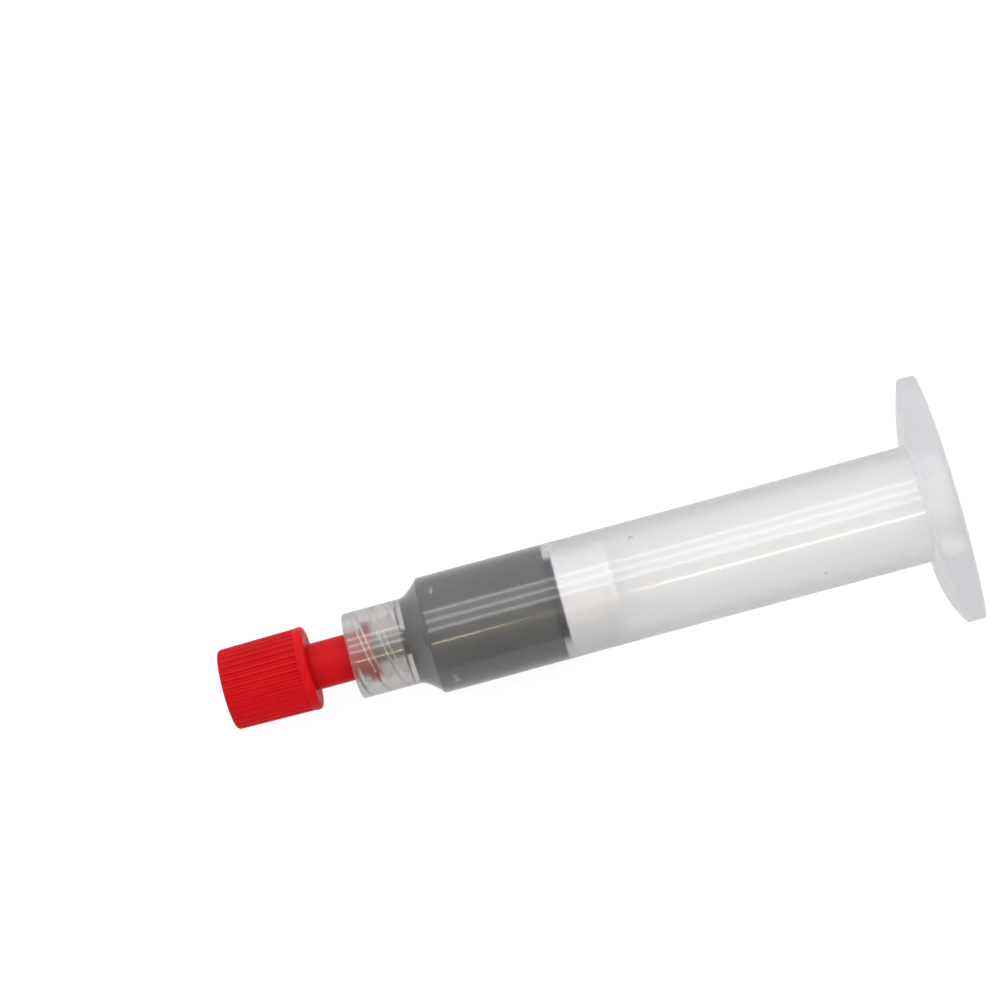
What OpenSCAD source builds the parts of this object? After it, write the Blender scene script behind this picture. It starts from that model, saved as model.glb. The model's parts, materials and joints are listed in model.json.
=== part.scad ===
// Solder paste syringe, lying on a flat surface as it comes to rest.
//
// Four pieces: a moulded barrel with a male Luer tip, a threaded lock collar
// and an oval finger flange; a ribbed tip cap screwed into the collar; a white
// wiper piston; and the solder paste between them.
//
// Each piece is drawn along its own axis: x = 0 at the mouth of the lock
// collar, +X towards the finger flange. at_rest() then lays the whole thing
// down on the flange's long edge and the corner of the shoulder, with Z = 0 on
// the surface and the origin under the middle of the object.

/* [Tube] */
// Outside diameter of the tube
tube_d = 15.5; // [14.8:0.1:16.4]
// Wall of the tube
tube_wall = 1.45; // [1.1:0.05:1.8]
// Length from the mouth of the lock collar to the rear face of the flange
barrel_l = 80.6; // [70:0.1:110]
// Chamfer at the rear mouth of the bore
mouth_chamfer = 0.5; // [0.2:0.05:0.8]

/* [Shoulder] */
// Distance from the collar's mouth to the foot of the shoulder
foot_x = 8.1; // [7.9:0.1:8.4]
// Distance from the collar's mouth to the sharp corner of the shoulder
shoulder_x = 10.6; // [10.2:0.1:12]
// Radius of the hollow curve between foot and corner, outside and in
shoulder_curve_r = 8.4; // [6:0.2:12]
// Thickness of the web behind the collar's recess
web_t = 0.9; // [0.8:0.05:1.1]
// Diameter of the flat in front of the bore, round the channel
bore_flat_d = 8; // [6:0.2:9]
// Distance from the collar's mouth to where the bore has its full width
bore_front_x = 12.2; // [11.8:0.1:14]
// Diameter of the channel through the tip
channel_d = 2.2; // [1.6:0.1:2.4]

/* [Lock collar] */
// Outside diameter of the lock collar
collar_d = 11.4; // [11:0.05:12]
// Inside diameter of the lock collar, at the bottom of its thread
collar_bore_d = 8.1; // [8:0.05:8.4]
// Depth of the collar's recess
collar_depth = 7.2; // [6.5:0.1:7.4]
// Rounding of the collar's mouth, outside and in
collar_edge = 0.3; // [0.1:0.05:0.5]

/* [Male tip] */
// Diameter of the tip at its end
tip_d = 3.95; // [3.9:0.01:4]
// How far the tip reaches out of the collar
tip_reach = 3.4; // [2.1:0.1:4.5]
// Taper of tip and socket, diameter over length
luer_taper = 0.06; // [0.058:0.001:0.062]

/* [Finger flange] */
// Length of the oval flange across the tube
flange_w = 33.7; // [30:0.1:38]
// Width of the oval flange
flange_h = 18.6; // [18.2:0.1:22]
// Radius of the oval's ends
flange_end_r = 3.2; // [3:0.1:6]
// Thickness of the flange in the middle
flange_mid_t = 4.1; // [3.6:0.1:5.5]
// Thickness of the flange at the ends of its wings
flange_tip_t = 2.4; // [1.8:0.05:3.2]
// Width of the flat part in the middle, before the wings curve back
flange_land = 14; // [8:0.5:20]
// Rounding of the flange's rear edge
flange_edge = 0.5; // [0.2:0.05:0.8]
// Radius of the hollow corner between tube and flange
flange_fillet = 1; // [0.5:0.1:1.5]

/* [Tip cap] */
// Diameter of the grip over its ribs, beside the smooth band
grip_d = 11.02; // [10:0.02:11.1]
// How much thinner the grip is at its closed end
grip_draft = 0.28; // [0:0.02:0.3]
// Length of the grip, with its smooth band
grip_l = 11.6; // [9:0.1:14]
// Diameter of the smooth band
band_d = 11.14; // [11.1:0.02:11.6]
// Width of the smooth band
band_w = 1.3; // [0.8:0.1:2]
// Number of ribs round the grip
rib_count = 36; // [28:4:40]
// Width of the round groove between two ribs
groove_d = 0.7; // [0.5:0.05:0.75]
// Depth of a groove
groove_depth = 0.28; // [0.15:0.01:0.34]
// Rounding of the cap's edges
cap_edge = 0.5; // [0.3:0.05:0.8]
// Depth of the shallow recess in the closed end
end_recess = 0.4; // [0.2:0.1:1]
// Diameter of that recess
end_recess_d = 6.6; // [4:0.1:7.5]
// Diameter of the neck
neck_d = 6.18; // [6:0.02:6.6]
// Length of neck that shows between the grip and the collar
neck_show = 5.4; // [4.8:0.1:7]
// How far the neck reaches into the collar
neck_in = 3.05; // [2:0.05:4]
// Depth of the tapered socket
socket_depth = 10; // [8:0.1:11]
// Width of a locking lug along the axis
lug_w = 1.1; // [0.8:0.05:1.5]
// Angle that a locking lug covers
lug_angle = 70; // [50:5:90]
// Gap between a lug and the collar, at the radius
lug_gap = 0.1; // [0.06:0.01:0.2]
// Gap between the tip and its socket, at the radius
seat_gap = 0.03; // [0.02:0.01:0.06]

/* [Piston] */
// Distance from the collar's mouth to the piston's front lip
piston_x = 27.4; // [24:0.1:32]
// Length of the piston without its nose
piston_l = 8.2; // [7:0.1:11]
// Length of each sealing lip
lip_l = 1.2; // [0.8:0.1:1.8]
// How far the waist stands in from the lips
waist_step = 0.35; // [0.2:0.05:0.6]
// Wall of the piston
piston_wall = 1.3; // [1:0.05:1.6]
// Radius of the flat at the end of the nose
nose_flat_r = 1; // [0.6:0.1:1.6]
// Slope of the nose's cone to the axis
nose_angle = 45; // [42:1:50]
// Sliding gap between a lip and the bore, at the radius
slide_gap = 0.03; // [0.01:0.01:0.05]
// Gap that is left in front of the piston at the end of its travel
stop_gap = 0.2; // [0.1:0.05:0.4]

/* [Solder paste] */
// Gap between the paste and the wall around it
paste_gap = 0.02; // [0.01:0.01:0.05]
// Gap between the paste and the piston
nose_gap = 0.1; // [0.05:0.05:0.3]

/* [Hidden] */
$fn = 96;

// Overlap between solids that are joined, and reach of a cut past a face
over = 0.5;
// Straight steps in a rounded corner
arc_steps = 6;

tube_r = tube_d/2;
bore_r = tube_r - tube_wall;
collar_r = collar_d/2;
channel_r = channel_d/2;
neck_r = neck_d/2;
band_r = band_d/2;
grip_r = grip_d/2;
slope = tan(nose_angle);

// Flat front of the bore, and how far the hollow curve behind it reaches
bore_flat_x = collar_depth + web_t;
bore_flat_r = bore_flat_d/2;
flange_front_x = barrel_l - flange_mid_t;

// Cap stations along the axis
band_x = -neck_show;
cap_end_x = band_x - grip_l;
socket_end_x = neck_in - socket_depth;

// Piston stations, at rest
lip_r = bore_r - slide_gap;
waist_r = lip_r - waist_step;
nose_l = (waist_r - nose_flat_r)/slope;
piston_end_x = piston_x + piston_l;
// Travel of the piston until its nose stands at the bore's flat front
piston_travel = piston_x - nose_l - bore_flat_x - stop_gap;

// Oval of four arcs: the long arcs' radius, and where long and end arcs meet
oval_a = flange_w/2;
oval_b = flange_h/2;
end_y = oval_a - flange_end_r;
long_r = (end_y*end_y + oval_b*oval_b - flange_end_r*flange_end_r)/(2*(oval_b - flange_end_r));
long_z = long_r - oval_b;
meet_y = end_y + flange_end_r*end_y/(long_r - flange_end_r);

// Rest attitude: one straight surface touches the flange's front bottom edge
// and the bottom of the shoulder's sharp corner
rest_tilt = atan2(oval_b - tube_r, flange_front_x - shoulder_x);
mouth_z = oval_b*cos(rest_tilt) - flange_front_x*sin(rest_tilt);
low_x = (cap_end_x + cap_edge)*cos(rest_tilt) - (grip_r - grip_draft/2 - cap_edge)*sin(rest_tilt) - cap_edge;
high_x = (barrel_l - flange_edge)*cos(rest_tilt) + (oval_b - flange_edge)*sin(rest_tilt) + flange_edge;

echo(rest_tilt = rest_tilt, mouth_x = -(low_x + high_x)/2, mouth_z = mouth_z);
echo(piston_travel = piston_travel);

// Points of an arc about [r, x], from angle a0 to a1
function arc(r, x, radius, a0, a1) =
  [for (i = [0:arc_steps]) let (a = a0 + (a1 - a0)*i/arc_steps) [r + radius*cos(a), x + radius*sin(a)]];

// Hollow curve from [r0, x0] to a wider [r1, x1], about a centre outside it
function hollow(r0, x0, r1, x1, radius) =
  let (chord = [r1 - r0, x1 - x0], span = norm(chord), rise = sqrt(radius*radius - span*span/4),
    centre = [r0 + r1, x0 + x1]/2 + [chord[1], -chord[0]]*rise/span,
    a0 = atan2(x0 - centre[1], r0 - centre[0]), a1 = atan2(x1 - centre[1], r1 - centre[0]))
  arc(centre[0], centre[1], radius, a0, a1);

// Radius of the tapered tip at station x
function tip_r(x) = tip_d/2 + luer_taper/2*(x + tip_reach);

module at_rest() {
  translate([-(low_x + high_x)/2, 0, mouth_z]) rotate([0, -rest_tilt, 0]) children();
}

// A solid of revolution about the object's axis, from [radius, station] points
module turned(points) {
  rotate([0, 90, 0]) rotate_extrude() polygon(points);
}

// Outside of tube, shoulder and collar; the shoulder is hollow like a bell
module tube_outside() {
  turned(concat(
    [[0, 0]],
    arc(collar_r - collar_edge, collar_edge, collar_edge, -90, 0),
    hollow(collar_r, foot_x, tube_r, shoulder_x, shoulder_curve_r),
    [[tube_r, flange_front_x + over], [0, flange_front_x + over]]));
}

// Hollow corner that carries the flange on the tube
module flange_root() {
  turned(concat(
    [[tube_r - over, flange_front_x + over], [tube_r - over, flange_front_x - flange_fillet]],
    arc(tube_r + flange_fillet, flange_front_x - flange_fillet, flange_fillet, 180, 90),
    [[tube_r + flange_fillet, flange_front_x + over]]));
}

// A disc as thick as the flange, with its rear edge rounded
module flange_disc(r) {
  turned(concat(
    [[0, flange_front_x], [r, flange_front_x]],
    arc(r - flange_edge, barrel_l - flange_edge, flange_edge, 0, 90),
    [[0, barrel_l]]));
}

// Four-arc oval: two long arcs, closed by a small disc at each end
module oval_plate() {
  intersection() {
    translate([0, 0, -long_z]) flange_disc(long_r);
    translate([0, 0, long_z]) flange_disc(long_r);
    translate([flange_front_x - over, -meet_y, -oval_a]) cube([flange_mid_t + 2*over, 2*meet_y, 2*oval_a]);
  }
  for (side = [-1, 1]) translate([0, side*end_y, 0]) flange_disc(flange_end_r);
}

// The wings curve back towards their tips on the side that the fingers pull on
module finger_flange() {
  land = flange_land/2;
  rear = barrel_l + over;
  drop = flange_mid_t - flange_tip_t;
  reach = oval_a - land;
  wing_r = (reach*reach + drop*drop)/(2*drop);
  sweep = asin(reach/wing_r);
  wing = [for (i = [0:2*arc_steps]) let (a = sweep*i/(2*arc_steps))
    [flange_front_x + wing_r*(1 - cos(a)), land + wing_r*sin(a)]];
  far = [[barrel_l - flange_tip_t, oval_a + over], [rear, oval_a + over]];
  half_face = concat(wing, far);
  mirrored = [for (i = [len(half_face) - 1:-1:0]) [half_face[i][0], -half_face[i][1]]];
  intersection() {
    oval_plate();
    translate([0, 0, -oval_b - over]) linear_extrude(flange_h + 2*over)
      polygon(concat(half_face, mirrored));
  }
}

// Bore for the piston, its hollow front and the channel through the tip
module bore() {
  turned(concat(
    [[0, -tip_reach - over], [channel_r, -tip_reach - over], [channel_r, bore_flat_x]],
    hollow(bore_flat_r, bore_flat_x, bore_r, bore_front_x, shoulder_curve_r + tube_wall),
    [[bore_r, barrel_l - mouth_chamfer], [bore_r + mouth_chamfer + over, barrel_l + over], [0, barrel_l + over]]));
}

// Ring-shaped recess of the lock collar, round the male tip
module collar_recess() {
  thread_r = collar_bore_d/2;
  turned(concat(
    [[tip_r(-over), -over], [thread_r + collar_edge, -over]],
    arc(thread_r + collar_edge, collar_edge, collar_edge, 270, 180),
    [[thread_r, collar_depth], [tip_r(collar_depth), collar_depth]]));
}

module male_tip() {
  turned([[0, -tip_reach], [tip_r(-tip_reach), -tip_reach], [tip_r(collar_depth + over), collar_depth + over],
    [0, collar_depth + over]]);
}

module barrel() {
  color([0.86, 0.88, 0.88, 0.5]) at_rest() difference() {
    union() {
      difference() {
        tube_outside();
        collar_recess();
      }
      male_tip();
      flange_root();
      finger_flange();
    }
    bore();
  }
}

// Grip with round grooves between its ribs, a rib standing at the very bottom.
// The grip and its grooves lean by the mould's draft.
module ribbed_grip() {
  end_r = grip_r - grip_draft/2;
  draft = atan2(grip_draft/2, grip_l - band_w);
  difference() {
    turned(concat(
      [[0, cap_end_x]],
      arc(end_r - cap_edge, cap_end_x + cap_edge, cap_edge, -90, 0),
      [[grip_r, band_x - band_w], [grip_r, band_x - band_w/2], [0, band_x - band_w/2]]));
    for (i = [0:rib_count - 1])
      rotate([(i + 0.5)*360/rib_count, 0, 0])
        translate([cap_end_x, 0, -(end_r + groove_d/2 - groove_depth)]) rotate([0, 90 + draft, 0])
          translate([0, 0, -over]) cylinder(d = groove_d, h = grip_l - band_w + over, $fn = 16);
    turned([[0, cap_end_x - over], [end_recess_d/2, cap_end_x - over], [end_recess_d/2, cap_end_x + end_recess],
      [0, cap_end_x + end_recess]]);
  }
}

module smooth_band() {
  turned(concat(
    [[0, band_x - band_w], [grip_r, band_x - band_w], [band_r, band_x - band_w/2]],
    arc(band_r - cap_edge, band_x - cap_edge, cap_edge, 0, 90),
    [[0, band_x]]));
}

// Two ears at the end of the neck, which run in the collar's thread
module lugs() {
  lug_r = collar_bore_d/2 - lug_gap;
  half = lug_angle/2;
  intersection() {
    turned([[0, neck_in - lug_w], [lug_r, neck_in - lug_w], [lug_r, neck_in], [0, neck_in]]);
    for (side = [0, 180])
      rotate([side, 0, 0]) rotate([0, 90, 0]) translate([0, 0, neck_in - lug_w]) linear_extrude(lug_w)
        polygon([[0, 0], for (a = [90 - half, 90, 90 + half]) 2*lug_r*[cos(a), sin(a)]]);
  }
}

module tip_cap() {
  color([0.78, 0.06, 0.08]) at_rest() difference() {
    union() {
      ribbed_grip();
      smooth_band();
      turned([[0, band_x - over], [neck_r, band_x - over], [neck_r, neck_in], [0, neck_in]]);
      lugs();
    }
    turned([[0, socket_end_x], [tip_r(socket_end_x) + seat_gap, socket_end_x],
      [tip_r(neck_in + over) + seat_gap, neck_in + over], [0, neck_in + over]]);
  }
}

// Wiper piston: a lip at each end, a cone in front and a cup behind
module piston() {
  // Offset of the cup's cone behind the nose's cone, along the axis
  wall_x = piston_wall/sin(nose_angle);
  cup_r = waist_r - piston_wall;
  cup_x = piston_x - (waist_r - cup_r)/slope + wall_x;
  color([0.93, 0.94, 0.95]) at_rest() turned([
    [0, piston_x - nose_l], [nose_flat_r, piston_x - nose_l], [waist_r, piston_x],
    [lip_r, piston_x], [lip_r, piston_x + lip_l], [waist_r, piston_x + lip_l + waist_step],
    [waist_r, piston_end_x - lip_l - waist_step], [lip_r, piston_end_x - lip_l], [lip_r, piston_end_x],
    [cup_r, piston_end_x], [cup_r, cup_x], [nose_flat_r, cup_x - (cup_r - nose_flat_r)/slope],
    [0, cup_x - (cup_r - nose_flat_r)/slope]]);
}

// Paste: a thread of it in the channel, the hollow front, and the charge up
// to the piston's nose
module solder_paste() {
  skin_r = channel_r - paste_gap;
  charge_r = bore_r - paste_gap;
  front_x = bore_flat_x + paste_gap;
  back_x = piston_x - nose_gap;
  color([0.43, 0.44, 0.42]) at_rest() turned(concat(
    [[0, -tip_reach], [skin_r, -tip_reach], [skin_r, front_x]],
    hollow(bore_flat_r, front_x, charge_r, bore_front_x + paste_gap, shoulder_curve_r + tube_wall + paste_gap),
    [[charge_r, back_x], [waist_r, back_x], [nose_flat_r, back_x - nose_l], [0, back_x - nose_l]]));
}

barrel();
tip_cap();
piston();
solder_paste();
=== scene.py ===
# The looks of a solder paste syringe that lies on a white surface.
#
# Lengths are millimetres along the syringe's own axes: x runs from the mouth of
# the lock collar to the finger flange, y runs across, and z stands up from the
# syringe's axis. TO_FRAME turns them into the frame's metres.
import json
import math

import bmesh
import bpy
from mathutils import Matrix, Vector


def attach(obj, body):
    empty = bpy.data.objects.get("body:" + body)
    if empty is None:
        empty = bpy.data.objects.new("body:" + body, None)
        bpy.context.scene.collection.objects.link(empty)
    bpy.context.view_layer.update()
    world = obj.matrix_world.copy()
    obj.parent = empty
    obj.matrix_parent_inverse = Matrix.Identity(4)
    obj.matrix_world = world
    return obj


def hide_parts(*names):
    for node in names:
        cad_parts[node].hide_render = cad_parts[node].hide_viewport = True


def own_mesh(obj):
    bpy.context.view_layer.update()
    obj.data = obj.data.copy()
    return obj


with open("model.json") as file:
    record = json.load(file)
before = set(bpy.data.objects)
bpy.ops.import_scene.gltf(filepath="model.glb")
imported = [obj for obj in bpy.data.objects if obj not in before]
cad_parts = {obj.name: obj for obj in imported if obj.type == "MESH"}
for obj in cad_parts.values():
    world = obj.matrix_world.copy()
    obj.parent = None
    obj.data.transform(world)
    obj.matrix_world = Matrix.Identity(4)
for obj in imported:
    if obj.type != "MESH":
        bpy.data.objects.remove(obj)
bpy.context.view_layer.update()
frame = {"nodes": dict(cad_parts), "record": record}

MM = 0.001
MOUNTS = {mount["name"]: mount for mount in frame["record"]["mounts"]}
MOUTH = Vector(MOUNTS["luer_lock"]["pos_m"])
ALONG = -Vector(MOUNTS["luer_lock"]["axis"])
ACROSS = Vector((0, 1, 0))
OWN_AXES = Matrix((ALONG, ACROSS, ALONG.cross(ACROSS))).transposed().to_4x4()
TO_FRAME = Matrix.Translation(MOUTH) @ OWN_AXES @ Matrix.Scale(MM, 4)

# Tube and shoulder
TUBE_R = 7.75
BORE_R = 6.3
BARREL_L = 80.6
MOUTH_CHAMFER = 0.5
FOOT_X = 8.1
SHOULDER_X = 10.6
SHOULDER_CURVE_R = 8.4
BORE_FLAT_X = 8.1
BORE_FLAT_R = 4
BORE_FRONT_X = 12.2
BORE_CURVE_R = 9.85
CHANNEL_R = 1.1
WAIST_DEPTH = 0.07

# Lock collar and male tip
COLLAR_R = 5.7
COLLAR_EDGE = 0.3
THREAD_R = 4.05
RECESS_DEPTH = 7.2
RECESS_EDGE = 0.2
TIP_REACH = 3.4
TIP_END_R = 1.975
TIP_TAPER = 0.03
TIP_EDGE = 0.15
THREAD_PITCH = 2.5
THREAD_LEAD = 5
THREAD_HEIGHT = 0.42
THREAD_BASE = 0.95
THREAD_FLANK = 0.22
THREAD_START_X = 4.85

# Finger flange: an oval of two long arcs and two end arcs
FLANGE_HALF_W = 16.85
FLANGE_HALF_H = 9.3
FLANGE_END_R = 3.2
FLANGE_MID_T = 4.1
FLANGE_TIP_T = 2.4
FLANGE_LAND = 7
FLANGE_EDGE = 0.5
FLANGE_FRONT_EDGE = 0.3
FLANGE_FILLET = 0.4
FLANGE_X = BARREL_L - FLANGE_MID_T
END_Y = FLANGE_HALF_W - FLANGE_END_R
LONG_R = (END_Y**2 + FLANGE_HALF_H**2 - FLANGE_END_R**2)/(2*(FLANGE_HALF_H - FLANGE_END_R))
LONG_Z = LONG_R - FLANGE_HALF_H
WING_DROP = FLANGE_MID_T - FLANGE_TIP_T
WING_R = ((FLANGE_HALF_W - FLANGE_LAND)**2 + WING_DROP**2)/(2*WING_DROP)

# Piston. Its travel ends where the front lip stands at the bore's front.
PISTON_X = 27.4
PISTON_L = 8.2
PISTON_TRAVEL = 14.18
FRONT_LIP_R = 6.33
FRONT_LIP_EDGE = 0.08
LIP_R = 6.27
LIP_EDGE = 0.25
LIP_L = 1.2
WAIST_R = 5.92
NOSE_FLAT_R = 1
PISTON_WALL = 1.3

# Paste, which reaches a little into the wall that it wets
WETTING = 0.03
SKIN_R = BORE_R + WETTING
SLEEVE_R = WAIST_R + WETTING

# Points in a ring of the barrel, and of what lies inside it
STEPS = 288
INNER_STEPS = 192


def srgb(red, green, blue):
    """A colour as written in eight bits, as the linear colour that the shaders mix."""
    def linear(value):
        share = value/255
        return share/12.92 if share <= 0.04045 else ((share + 0.055)/1.055)**2.4
    return (linear(red), linear(green), linear(blue), 1)


CLEAR = (0.98, 0.982, 0.987, 1)
CLOUDY = (0.74, 0.74, 0.765, 1)
PISTON_WHITE = srgb(252, 252, 255)
# Dark navy of the painted shade in the groove at the piston's front lip.
GROOVE_SHADE = srgb(36, 39, 57)


# Rings and skins

def turns(steps=STEPS):
    """Angles round the axis, from straight up and towards +y."""
    return [2*math.pi*k/steps for k in range(steps)]


def ring(x, r, steps=STEPS):
    """Points round the axis. x and r are numbers, or functions of the angle."""
    points = []
    for turn in turns(steps):
        radius = r(turn) if callable(r) else r
        station = x(turn) if callable(x) else x
        points.append((station, radius*math.sin(turn), radius*math.cos(turn)))
    return points


def arc(x, r, radius, start, end, count=6):
    """Stations and radii along an arc about (x, r). 0 degrees points along x, 90 away from the axis."""
    angles = [math.radians(start + (end - start)*i/count) for i in range(count + 1)]
    return [(x + radius*math.cos(a), r + radius*math.sin(a)) for a in angles]


def hollow(x0, r0, x1, r1, radius, count=12):
    """Stations and radii of a hollow curve from (x0, r0) to a wider (x1, r1), about a centre outside
    it."""
    along, out = x1 - x0, r1 - r0
    span = math.hypot(along, out)
    rise = math.sqrt(radius**2 - span**2/4)/span
    x = (x0 + x1)/2 - out*rise
    r = (r0 + r1)/2 + along*rise
    start = math.degrees(math.atan2(r0 - r, x0 - x))
    end = math.degrees(math.atan2(r1 - r, x1 - x))
    return arc(x, r, radius, start, end, count)


def spaced(start, end, count):
    """count + 1 numbers from start to end."""
    return [start + (end - start)*i/count for i in range(count + 1)]


def skin(name, rings, loop=False, zones=()):
    """A closed mesh through rings of points. In a loop the last ring meets the first, otherwise
    both ends are filled. zones gives the number of the material between each ring and the next."""
    steps = len(rings[0])
    points = [TO_FRAME @ Vector(p) for one in rings for p in one]
    faces = []
    for i in range(len(rings) if loop else len(rings) - 1):
        a = i*steps
        b = (i + 1) % len(rings)*steps
        for k in range(steps):
            following = (k + 1) % steps
            faces.append((a + k, a + following, b + following, b + k))
    if not loop:
        faces.append(tuple(range(steps)))
        faces.append(tuple(range(len(points) - steps, len(points))))
    numbers = [zone for zone in zones for k in range(steps)]
    return solid(name, points, faces, numbers)


def solid(name, points, faces, numbers=(), crease=32):
    """An object of these faces, turned outwards, smooth but for edges sharper than crease degrees.
    numbers gives each face's material."""
    mesh = bpy.data.meshes.new(name)
    mesh.from_pydata(points, [], faces)
    for face, number in zip(mesh.polygons, numbers):
        face.material_index = number
    work = bmesh.new()
    work.from_mesh(mesh)
    bmesh.ops.recalc_face_normals(work, faces=work.faces)
    work.to_mesh(mesh)
    work.free()
    mesh.shade_smooth()
    mesh.set_sharp_from_angle(angle=math.radians(crease))
    piece = bpy.data.objects.new(name, mesh)
    bpy.context.scene.collection.objects.link(piece)
    return piece


def dress(piece, body, materials, replaced=()):
    """Puts a piece on its body, its finishes and the nodes it stands for."""
    for material in materials:
        piece.data.materials.append(material)
    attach(piece, body)
    for node in replaced:
        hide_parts(node)


# Node materials

class Finish:
    """A material with one Principled shader, and short ways to add nodes to it."""

    def __init__(self, name, colour, roughness, **plain):
        self.material = bpy.data.materials.new(name)
        self.material.use_nodes = True
        self.tree = self.material.node_tree
        self.shader = self.tree.nodes["Principled BSDF"]
        self.shader.inputs["Base Color"].default_value = colour
        self.shader.inputs["Roughness"].default_value = roughness
        for socket, value in plain.items():
            self.shader.inputs[socket.replace("_", " ")].default_value = value
        self.place = self.node("ShaderNodeTexCoord").outputs["Object"]

    def node(self, kind, **settings):
        made = self.tree.nodes.new(kind)
        for name, value in settings.items():
            setattr(made, name, value)
        return made

    def link(self, source, target):
        self.tree.links.new(source, target)

    def noise(self, size, detail=3):
        """Noise with features of about size millimetres."""
        texture = self.node("ShaderNodeTexNoise")
        texture.inputs["Scale"].default_value = 1/(size*MM)
        texture.inputs["Detail"].default_value = detail
        self.link(self.place, texture.inputs["Vector"])
        return texture.outputs["Fac"]

    def ranged(self, source, low, high, start=0.0, end=1.0):
        """source from low to high, mapped to start to end."""
        mapped = self.node("ShaderNodeMapRange", interpolation_type="SMOOTHSTEP")
        mapped.inputs["From Min"].default_value = low
        mapped.inputs["From Max"].default_value = high
        mapped.inputs["To Min"].default_value = start
        mapped.inputs["To Max"].default_value = end
        self.link(source, mapped.inputs["Value"])
        return mapped.outputs["Result"]

    def mixed(self, share, first, second):
        """A colour between first and second. first is a colour or a socket."""
        mix = self.node("ShaderNodeMix", data_type="RGBA")
        if isinstance(first, tuple):
            mix.inputs["A"].default_value = first
        else:
            self.link(first, mix.inputs["A"])
        mix.inputs["B"].default_value = second
        self.link(share, mix.inputs["Factor"])
        return mix.outputs["Result"]

    def along(self, axis):
        """Millimetres from the collar's mouth along one of the syringe's axes."""
        dot = self.node("ShaderNodeVectorMath", operation="DOT_PRODUCT")
        dot.inputs[1].default_value = axis/MM
        self.link(self.place, dot.inputs[0])
        return self.math("SUBTRACT", dot.outputs["Value"], MOUTH.dot(axis)/MM)

    def math(self, operation, first, second):
        """Two shares worked together. second is a number or a socket."""
        node = self.node("ShaderNodeMath", operation=operation)
        self.link(first, node.inputs[0])
        if isinstance(second, (int, float)):
            node.inputs[1].default_value = second
        else:
            self.link(second, node.inputs[1])
        return node.outputs[0]

    def band(self, source, low, high, soft):
        """1 where source lies between low and high, 0 elsewhere, with soft edges."""
        rise = self.ranged(source, low - soft, low + soft)
        fall = self.ranged(source, high - soft, high + soft, 1.0, 0.0)
        return self.math("MULTIPLY", rise, fall)

    def away(self, x, y, z):
        """Millimetres from a place in the syringe's own axes."""
        away = self.node("ShaderNodeVectorMath", operation="DISTANCE")
        away.inputs[1].default_value = TO_FRAME @ Vector((x, y, z))
        self.link(self.place, away.inputs[0])
        return self.math("DIVIDE", away.outputs["Value"], MM)

    def spots(self, r, places):
        """1 at small places of a round surface of radius r. Each is its station, its angle from the top
        towards +y and its size."""
        total = None
        for x, turn, size in places:
            a = math.radians(turn)
            one = self.ranged(self.away(x, r*math.sin(a), r*math.cos(a)), 0.5*size, size, 1.0, 0.0)
            total = self.math("MAXIMUM", one, total) if total else one
        return total

    def lip_groove_shade(self):
        """1 on the dark band of painted shade where the paste meets the piston's front lip, the shade
        that falls in the groove at the lip.
        """
        station = self.band(self.along(ALONG), 26.9, 28.4, 0.2)
        return self.math("MULTIPLY", station, self.band(self.along(ACROSS), -5.7, 4.2, 0.6))

    def tint(self, share, first, second):
        """The shader's colour goes from first to second."""
        self.link(self.mixed(share, first, second), self.shader.inputs["Base Color"])

    def bump(self, height, depth):
        """Raises the surface by height times depth millimetres."""
        bump = self.node("ShaderNodeBump")
        bump.inputs["Distance"].default_value = depth*MM
        self.link(height, bump.inputs["Height"])
        self.link(bump.outputs["Normal"], self.shader.inputs["Normal"])
        self.link(bump.outputs["Normal"], self.shader.inputs["Coat Normal"])

    def let_lamps_through(self):
        """Lets the lamps' light through to what lies behind, straight on."""
        path = self.node("ShaderNodeLightPath")
        clear = self.node("ShaderNodeBsdfTransparent")
        choice = self.node("ShaderNodeMixShader")
        self.link(path.outputs["Is Shadow Ray"], choice.inputs["Fac"])
        self.link(self.shader.outputs["BSDF"], choice.inputs[1])
        self.link(clear.outputs["BSDF"], choice.inputs[2])
        self.link(choice.outputs["Shader"], self.tree.nodes["Material Output"].inputs["Surface"])


def clear_plastic(name, roughness, clear, shine, coat, colour=CLEAR):
    """Natural polypropylene. The haze inside it lies on its surfaces here: roughness blurs what shows
    through, clear is the share of light that isn't scattered back, shine is the blurred reflection, and
    coat the sharp one."""
    finish = Finish(name, colour, roughness, Transmission_Weight=clear, IOR=1.49,
                    Specular_IOR_Level=shine, Coat_Weight=coat, Coat_Roughness=0.08)
    finish.let_lamps_through()
    return finish


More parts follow.
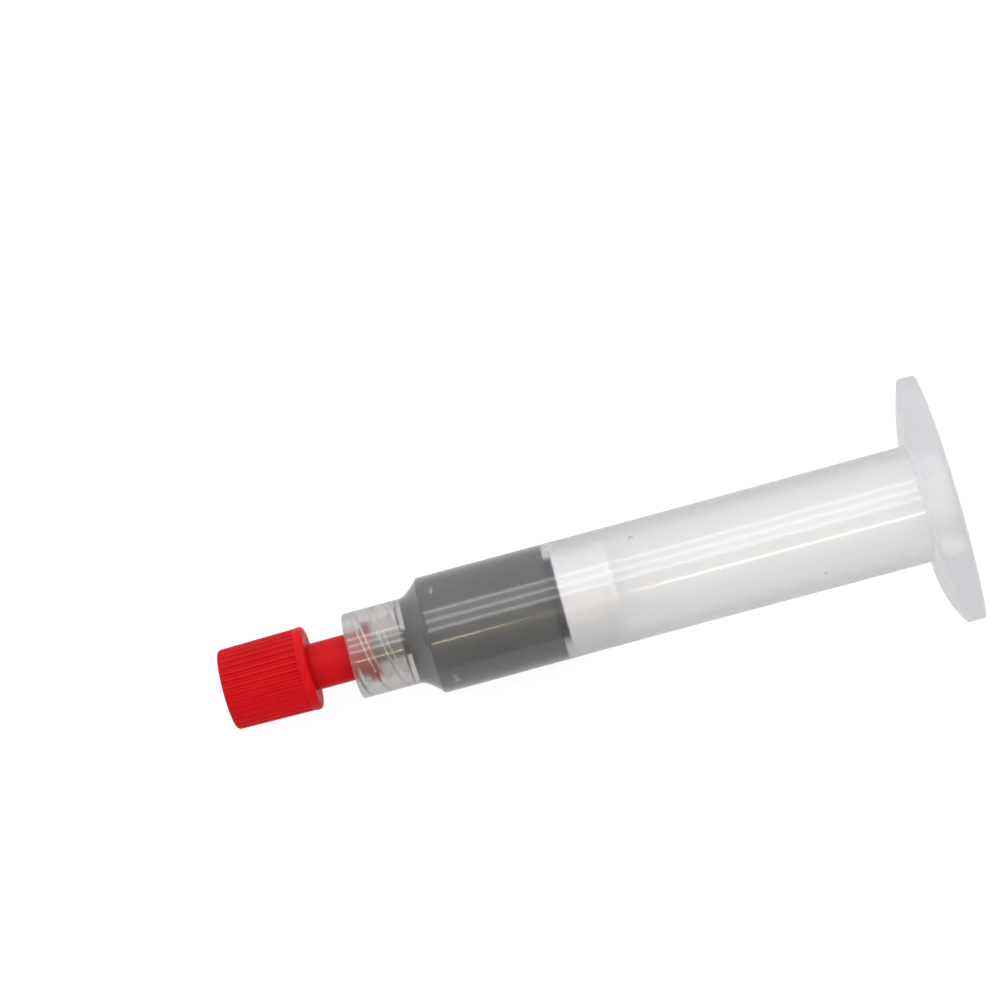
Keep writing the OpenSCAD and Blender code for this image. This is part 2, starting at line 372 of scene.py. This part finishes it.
def clear_plastics():
    """Finishes for the barrel's recess, outside, flange and bore, in the order of its rings. The collar
    is clearer than the tube and has a warm grey tint, partly its own and partly painted shade of a
    darker syringe that lies behind it, and the flange carries a gate mark."""
    # The recess's warm grey colour is partly the plastic's own and partly painted shade of a darker
    # syringe lying behind the collar.
    recess = clear_plastic("polypropylene_recess", 0.25, 0.985, 0.15, 0, (0.78, 0.75, 0.74, 1))
    tube = clear_plastic("polypropylene_tube", 0.28, 0.97, 0, 1)
    tube.link(tube.ranged(tube.along(ALONG), 7.5, 11, 0.2, 0.28), tube.shader.inputs["Roughness"])
    specks = tube.spots(TUBE_R, [(39.05, 31.9, 0.3), (39.4, 30.4, 0.2), (38.8, 28.9, 0.16),
                                 (62.1, -59.6, 0.24)])
    marked = tube.mixed(specks, CLEAR, (0.35, 0.31, 0.3, 1))
    # Partly painted shade: the collar's band turns warm grey, partly its own tint and partly the darker
    # syringe behind it.
    tube.tint(tube.band(tube.along(ALONG), -1, 7.8, 0.3), marked, (0.84, 0.81, 0.8, 1))
    rim = clear_plastic("polypropylene_flange", 0.7, 0.75, 0.2, 0.6, CLOUDY)
    gate = rim.band(rim.away(77.5, 1, FLANGE_HALF_H), 0.4, 0.55, 0.08)
    rim.tint(gate, CLOUDY, (0.63, 0.61, 0.61, 1))
    rim.bump(rim.noise(0.7, detail=4), 0.05)
    bore = clear_plastic("polypropylene_bore", 0.42, 0.95, 0.15, 0)
    return [finish.material for finish in (recess, tube, rim, bore)]


def grey_paste():
    """Solder paste: a dull metal grey, darker where flux gathers."""
    finish = Finish("solder_paste", srgb(74, 74, 70), 0.5, IOR=1.5)
    cloud = finish.ranged(finish.noise(5, detail=5), 0.35, 0.65)
    dark = finish.spots(SKIN_R, [(25.7, -13.5, 0.45), (26.2, -11.5, 0.3), (25.2, -11, 0.25)])
    fresh = finish.spots(SKIN_R, [(12.35, 37, 0.3), (12.4, 40, 0.3), (12.4, 43, 0.3), (12.5, -72, 0.45),
                                   (12.7, -80, 0.5)])
    colour = finish.mixed(cloud, srgb(70, 70, 66), srgb(78, 78, 73))
    # Painted shade: darkens the paste at the groove by the piston's front lip.
    colour = finish.mixed(finish.lip_groove_shade(), colour, GROOVE_SHADE)
    finish.tint(fresh, finish.mixed(dark, colour, srgb(50, 50, 50)), srgb(180, 176, 168))
    return finish.material


def white_plastic():
    """The piston's white polyethylene."""
    finish = Finish("white_piston", PISTON_WHITE, 0.4, IOR=1.5, Specular_IOR_Level=0.2)
    # Painted shade: darkens the piston's front lip, where its groove lies in shade.
    finish.tint(finish.lip_groove_shade(), PISTON_WHITE, GROOVE_SHADE)
    finish.bump(finish.noise(0.4), 0.004)
    return finish.material


def red_plastic():
    """The cap's red plastic, satin from the mould."""
    finish = Finish("red_cap", srgb(194, 8, 18), 0.35, IOR=1.49, Specular_IOR_Level=0.1)
    cloud = finish.ranged(finish.noise(4, detail=4), 0.3, 0.7)
    finish.tint(cloud, srgb(180, 4, 13), srgb(192, 6, 17))
    finish.bump(finish.noise(0.35, detail=4), 0.006)
    return finish.material


# Barrel

def oval(turn, inset=0.0):
    """Radius of the flange's outline at an angle, moved in by inset."""
    y, z = abs(math.sin(turn)), abs(math.cos(turn))
    meet_y = END_Y + FLANGE_END_R*END_Y/(LONG_R - FLANGE_END_R)
    meet_z = FLANGE_END_R*LONG_Z/(LONG_R - FLANGE_END_R)
    if y*meet_z > z*meet_y:
        centre, radius = (END_Y, 0), FLANGE_END_R - inset
    else:
        centre, radius = (0, -LONG_Z), LONG_R - inset
    reach = y*centre[0] + z*centre[1]
    return reach + math.sqrt(reach**2 - centre[0]**2 - centre[1]**2 + radius**2)


def wing_x(y):
    """Station of the flange's front face at y: flat in the middle, then curving back to the tips."""
    past = max(0.0, abs(y) - FLANGE_LAND)
    return FLANGE_X + WING_R - math.sqrt(WING_R**2 - past**2)


def tip_r(x):
    return TIP_END_R + TIP_TAPER*(x + TIP_REACH)


def thread_r(x, turn):
    """Radius of the collar's inside at a station and angle: two right-handed ridges."""
    offset = x - THREAD_START_X + THREAD_LEAD*turn/(2*math.pi)
    away = abs((offset + THREAD_PITCH/2) % THREAD_PITCH - THREAD_PITCH/2)
    share = min(1.0, max(0.0, (THREAD_BASE/2 - away)/THREAD_FLANK))
    ends = min(1.0, max(0.0, (x - 0.5)/0.5))*min(1.0, max(0.0, (RECESS_DEPTH - x)/0.4))
    return THREAD_R - THREAD_HEIGHT*ends*share*share*(3 - 2*share)


def tube_r(x):
    """Outside of the tube, which shrank a little where the wall is plain."""
    share = (x - SHOULDER_X)/(FLANGE_X - SHOULDER_X)
    return TUBE_R - WAIST_DEPTH*math.sin(math.pi*share)**2


def tip_and_recess():
    """Rings from the channel's front end, over the male tip, to the collar's mouth."""
    rings = [ring(-TIP_REACH, CHANNEL_R)]
    rings += [ring(x, r) for x, r in arc(-TIP_REACH + TIP_EDGE, TIP_END_R - TIP_EDGE, TIP_EDGE, 180, 90)]
    rings += [ring(x, tip_r(x)) for x in spaced(-TIP_REACH + 0.4, RECESS_DEPTH - 0.2, 8)]
    corner_x = RECESS_DEPTH - RECESS_EDGE
    inner = arc(corner_x, tip_r(RECESS_DEPTH) + RECESS_EDGE, RECESS_EDGE, 270, 360, 4)
    outer = arc(corner_x, THREAD_R - RECESS_EDGE, RECESS_EDGE, 0, 90, 4)
    rings += [ring(x, r) for x, r in inner + outer]
    for x in spaced(RECESS_DEPTH - 0.25, COLLAR_EDGE + 0.05, 110):
        rings.append(ring(x, lambda turn, x=x: thread_r(x, turn)))
    rings += [ring(x, r) for x, r in arc(COLLAR_EDGE, THREAD_R + COLLAR_EDGE, COLLAR_EDGE, 270, 180)]
    return rings


def outside():
    """Rings from the collar's mouth, over collar, shoulder and tube, to the flange's root."""
    shoulder = hollow(FOOT_X, COLLAR_R, SHOULDER_X, TUBE_R, SHOULDER_CURVE_R)
    rings = [ring(x, r) for x, r in arc(COLLAR_EDGE, COLLAR_R - COLLAR_EDGE, COLLAR_EDGE, 180, 90)]
    rings += [ring(x, COLLAR_R) for x in spaced(1, FOOT_X - 0.2, 6)]
    rings += [ring(x, r) for x, r in shoulder[1:-1]]
    rings += [ring(SHOULDER_X - 0.06, TUBE_R - 0.07), ring(SHOULDER_X + 0.06, TUBE_R)]
    rings += [ring(x, tube_r(x)) for x in spaced(SHOULDER_X + 0.5, FLANGE_X - FLANGE_FILLET, 40)]
    return rings


def flange():
    """Rings from the root fillet, over front face, rim and rear face, to the bore's mouth."""
    rings = []
    for i in range(1, 9):
        a = math.radians(90*i/8)
        r = TUBE_R + FLANGE_FILLET*(1 - math.cos(a))
        back = FLANGE_FILLET*(1 - math.sin(a))
        rings.append(ring(lambda turn, r=r, back=back: wing_x(r*math.sin(turn)) - back, r))
    root = TUBE_R + FLANGE_FILLET
    edge = FLANGE_FRONT_EDGE
    for share in spaced(0, 1, 16)[1:]:
        radius = lambda turn, share=share: root + (oval(turn, edge) - root)*share
        rings.append(ring(lambda turn, radius=radius: wing_x(radius(turn)*math.sin(turn)), radius))
    for i in range(1, 6):
        a = math.radians(90*i/5)
        inset, back = edge*(1 - math.sin(a)), edge*(1 - math.cos(a))
        rings.append(ring(lambda turn, back=back: wing_x(oval(turn)*math.sin(turn)) + back,
                          lambda turn, inset=inset: oval(turn, inset)))
    rear = BARREL_L - FLANGE_EDGE
    for share in spaced(0, 1, 6)[1:]:
        rings.append(ring(lambda turn, share=share:
                          (wing_x(oval(turn)*math.sin(turn)) + edge)*(1 - share) + rear*share, oval))
    for i in range(1, 9):
        a = math.radians(90*i/8)
        inset = FLANGE_EDGE*(1 - math.cos(a))
        rings.append(ring(rear + FLANGE_EDGE*math.sin(a), lambda turn, inset=inset: oval(turn, inset)))
    mouth = BORE_R + MOUTH_CHAMFER
    for share in spaced(0, 1, 10)[1:]:
        rings.append(ring(BARREL_L, lambda turn, share=share:
                          oval(turn, FLANGE_EDGE)*(1 - share) + mouth*share))
    return rings


def inside():
    """Rings from the bore's mouth, down the bore and its hollow front, to the channel's front end."""
    front = hollow(BORE_FLAT_X, BORE_FLAT_R, BORE_FRONT_X, BORE_R, BORE_CURVE_R)
    rings = [ring(x, BORE_R) for x in spaced(BARREL_L - MOUTH_CHAMFER, BORE_FRONT_X + 0.3, 40)]
    rings += [ring(x, r) for x, r in reversed(front)]
    rings += [ring(BORE_FLAT_X, r) for r in (3, 2)]
    rings += [ring(x, CHANNEL_R) for x in spaced(BORE_FLAT_X, -TIP_REACH + 0.5, 5)]
    return rings


def barrel(materials):
    parts = (tip_and_recess(), outside(), flange(), inside())
    rings = [one for part in parts for one in part]
    zones = [number for number, part in enumerate(parts) for one in part]
    piece = skin("clear_barrel", rings, True, zones)
    dress(piece, "barrel", materials, ["barrel"])


# Piston

def piston(material):
    """Wiper piston: rounded lips, a conical nose in the paste and a cup behind."""
    nose_x = PISTON_X - (WAIST_R - NOSE_FLAT_R)
    end_x = PISTON_X + PISTON_L
    cup_r = WAIST_R - PISTON_WALL
    cup_x = PISTON_X - (WAIST_R - cup_r) + PISTON_WALL*math.sqrt(2)
    step = LIP_EDGE
    points = [(nose_x, 0.01)]
    points += arc(nose_x + 0.3, NOSE_FLAT_R - 0.12, 0.3, 180, 135, 3)
    points += [(x, WAIST_R - (PISTON_X - x)) for x in spaced(nose_x + 0.5, PISTON_X, 6)]
    points += arc(PISTON_X + FRONT_LIP_EDGE, FRONT_LIP_R - FRONT_LIP_EDGE, FRONT_LIP_EDGE,
                  180, 90, 4)
    points += arc(PISTON_X + LIP_L - step, FRONT_LIP_R - step, step, 90, 45, 3)
    points += [(PISTON_X + LIP_L + step, WAIST_R)]
    points += [(x, WAIST_R) for x in spaced(PISTON_X + LIP_L + 0.5, end_x - LIP_L - 0.5, 4)]
    points += [(end_x - LIP_L - step, WAIST_R)]
    points += arc(end_x - LIP_L + step, LIP_R - step, step, 135, 90, 3)
    points += arc(end_x - step, LIP_R - step, step, 90, 0, 4)
    points += arc(end_x - step, cup_r + step, step, 0, -90, 4)
    points += [(x, cup_r) for x in spaced(end_x - 1, cup_x, 4)]
    points += [(x, cup_r - (cup_x - x)) for x in spaced(cup_x - 0.4, cup_x - (cup_r - NOSE_FLAT_R), 6)]
    points += [(cup_x - (cup_r - NOSE_FLAT_R), 0.01)]
    piece = skin("wiper_piston", [ring(x, r, INNER_STEPS) for x, r in points])
    dress(piece, "piston", [material], ["piston"])


# Solder paste

def paste_front(material):
    """Paste in the channel and on the bore's front, hollowed where the piston's nose ends its travel."""
    channel = CHANNEL_R + WETTING
    flat_x = BORE_FLAT_X - WETTING
    nose_end_x = PISTON_X - (WAIST_R - NOSE_FLAT_R) - PISTON_TRAVEL
    points = [(-TIP_REACH + 0.1, 0.01)]
    points += [(x, channel) for x in spaced(-TIP_REACH + 0.1, flat_x, 8)]
    points += hollow(flat_x, BORE_FLAT_R, BORE_FRONT_X, SKIN_R, BORE_CURVE_R)
    points += [(x, x - nose_end_x + NOSE_FLAT_R + 0.06)
               for x in spaced(BORE_FRONT_X, nose_end_x - 0.05, 8)]
    points += [(nose_end_x - 0.05, 0.01)]
    piece = skin("solder_paste_front", [ring(x, r, INNER_STEPS) for x, r in points])
    dress(piece, "barrel", [material], ["solder_paste"])


def paste_charge(material):
    """The charge of paste against the wall, from the bore's front to the piston, which presses it flat.
    It reaches a little over its neighbours, so that no hairline of wall shows between them."""
    start, end = BORE_FRONT_X - 0.02, PISTON_X + 0.02
    rings = [ring(x, SKIN_R, INNER_STEPS) for x in spaced(start, end, 24)]
    rings += [ring(x, SLEEVE_R, INNER_STEPS) for x in spaced(end, start, 24)]
    piece = skin("solder_paste_charge", rings, loop=True)
    dress(piece, "barrel", [material], ["solder_paste"])
    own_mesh(piece)


# Stage

def floor():
    """A white surface that shows white to the camera and in the plastic, and keeps a soft shadow."""
    mesh = bpy.data.meshes.new("floor")
    reach = 3
    corners = [(-reach, -reach, 0), (reach, -reach, 0), (reach, reach, 0), (-reach, reach, 0)]
    mesh.from_pydata(corners, [], [(0, 1, 2, 3)])
    plane = bpy.data.objects.new("floor", mesh)
    bpy.context.scene.collection.objects.link(plane)
    material = bpy.data.materials.new("floor")
    material.use_nodes = True
    tree = material.node_tree
    tree.nodes.clear()
    output = tree.nodes.new("ShaderNodeOutputMaterial")
    add = tree.nodes.new("ShaderNodeAddShader")
    diffuse = tree.nodes.new("ShaderNodeBsdfDiffuse")
    diffuse.inputs["Color"].default_value = (0.24, 0.24, 0.24, 1)
    glow = tree.nodes.new("ShaderNodeEmission")
    path = tree.nodes.new("ShaderNodeLightPath")
    strength = None
    for ray, share in (("Is Camera Ray", 0.82), ("Is Transmission Ray", 0.02), ("Is Glossy Ray", 0.37)):
        step = tree.nodes.new("ShaderNodeMath")
        step.operation = "MULTIPLY_ADD"
        step.inputs[1].default_value = share
        step.inputs[2].default_value = 0
        tree.links.new(path.outputs[ray], step.inputs[0])
        if strength:
            tree.links.new(strength, step.inputs[2])
        strength = step.outputs[0]
    tree.links.new(strength, glow.inputs["Strength"])
    tree.links.new(diffuse.outputs[0], add.inputs[0])
    tree.links.new(glow.outputs[0], add.inputs[1])
    tree.links.new(add.outputs[0], output.inputs["Surface"])
    mesh.materials.append(material)


def graded(tree, source, low, high, start, end):
    """source from low to high, mapped to start to end, in the world's nodes."""
    mapped = tree.nodes.new("ShaderNodeMapRange")
    mapped.inputs["From Min"].default_value = low
    mapped.inputs["From Max"].default_value = high
    mapped.inputs["To Min"].default_value = start
    mapped.inputs["To Max"].default_value = end
    tree.links.new(source, mapped.inputs["Value"])
    return mapped.outputs["Result"]


def sky():
    """Even light, a little stronger from behind and near the horizon. What the surfaces mirror is bright
    only behind."""
    world = bpy.data.worlds.new("sky")
    bpy.context.scene.world = world
    world.use_nodes = True
    tree = world.node_tree
    background = tree.nodes["Background"]
    background.inputs["Color"].default_value = (1, 1, 1, 1)
    direction = tree.nodes.new("ShaderNodeTexCoord").outputs["Generated"]
    split = tree.nodes.new("ShaderNodeSeparateXYZ")
    tree.links.new(direction, split.inputs[0])
    tint = tree.nodes.new("ShaderNodeMapRange")
    tint.data_type = "FLOAT_VECTOR"
    # The vector sockets are taken by number, because the hidden number sockets bear similar names.
    value, from_min, from_max, to_min, to_max = [tint.inputs[i] for i in (6, 7, 8, 9, 10)]
    from_min.default_value = (-1, -1, -1)
    from_max.default_value = (1, 1, 1)
    to_min.default_value = (1.0, 0.996, 0.988)
    to_max.default_value = (0.985, 0.985, 1.0)
    tree.links.new(split.outputs["Y"], value)
    tree.links.new(tint.outputs["Vector"], background.inputs["Color"])
    lit = tree.nodes.new("ShaderNodeMath")
    lit.operation = "MULTIPLY"
    tree.links.new(graded(tree, split.outputs["Y"], -1, 1, 1.05, 1.6), lit.inputs[0])
    tree.links.new(graded(tree, split.outputs["Z"], 0, 0.5, 1.9, 1), lit.inputs[1])
    mirrored = graded(tree, split.outputs["Y"], -0.8, 0.9, 0.28, 0.85)
    path = tree.nodes.new("ShaderNodeLightPath")
    choice = tree.nodes.new("ShaderNodeMix")
    tree.links.new(path.outputs["Is Glossy Ray"], choice.inputs["Factor"])
    tree.links.new(lit.outputs[0], choice.inputs["A"])
    tree.links.new(mirrored, choice.inputs["B"])
    tree.links.new(choice.outputs["Result"], background.inputs["Strength"])


def strip_lamp(name, lean, start, end, width, radiance, colour=(1, 1, 1)):
    """A long thin lamp along the syringe, lean degrees from upright towards +y, seen only in what
    shines."""
    distance = 600
    data = bpy.data.lights.new(name, "AREA")
    data.shape = "RECTANGLE"
    data.size = (end - start)*MM
    data.size_y = width*MM
    data.energy = radiance*math.pi*data.size*data.size_y
    data.color = colour
    lamp = bpy.data.objects.new(name, data)
    bpy.context.scene.collection.objects.link(lamp)
    a = math.radians(lean)
    place = Matrix.Translation(Vector(((start + end)/2, distance*math.sin(a), distance*math.cos(a))))
    lamp.matrix_world = TO_FRAME @ place @ Matrix.Rotation(-a, 4, "X") @ Matrix.Scale(1/MM, 4)
    lamp.visible_camera = False
    lamp.visible_diffuse = False
    lamp.visible_transmission = False


def lamps():
    for number, lean in enumerate((31, 12.8, -4.8)):
        strip_lamp(f"front_strip_{number + 1}", lean, -170, 17, 66, 2.8)
        strip_lamp(f"rear_strip_{number + 1}", lean, 17, 220, 66, 1.9)
    strip_lamp("panel", 13.1, -170, 220, 430, 0.35)
    strip_lamp("warm_rear", -33.4, 47, 180, 26, 22, (1, 0.84, 0.6))
    strip_lamp("warm_front", -31, -98, -5, 26, 9, (1, 0.8, 0.5))


def camera():
    """The photograph's view: place, aim and the picture's right-hand direction, in the syringe's own
    axes."""
    spot = Vector((38.11, -96.01, 387.92))
    aim = Vector((23.82, 15.29, 0))
    right = Vector((0.96443, -0.24253, -0.10512))
    back = (spot - aim).normalized()
    up = back.cross(right).normalized()
    right = up.cross(back)
    turn = Matrix((right, up, back)).transposed().to_4x4()
    data = bpy.data.cameras.new("camera")
    data.lens = 110.2
    data.sensor_width = 36
    data.clip_start = 0.01
    data.clip_end = 20
    eye = bpy.data.objects.new("camera", data)
    bpy.context.scene.collection.objects.link(eye)
    eye.matrix_world = Matrix.Translation(TO_FRAME @ spot) @ OWN_AXES @ turn
    bpy.context.scene.camera = eye


bpy.context.scene.view_settings.view_transform = "Standard"
camera()
floor()
sky()
lamps()
barrel(clear_plastics())
piston(white_plastic())
paste = grey_paste()
paste_front(paste)
paste_charge(paste)
cap = frame["nodes"]["tip_cap"]
cap.data.materials.clear()
cap.data.materials.append(red_plastic())
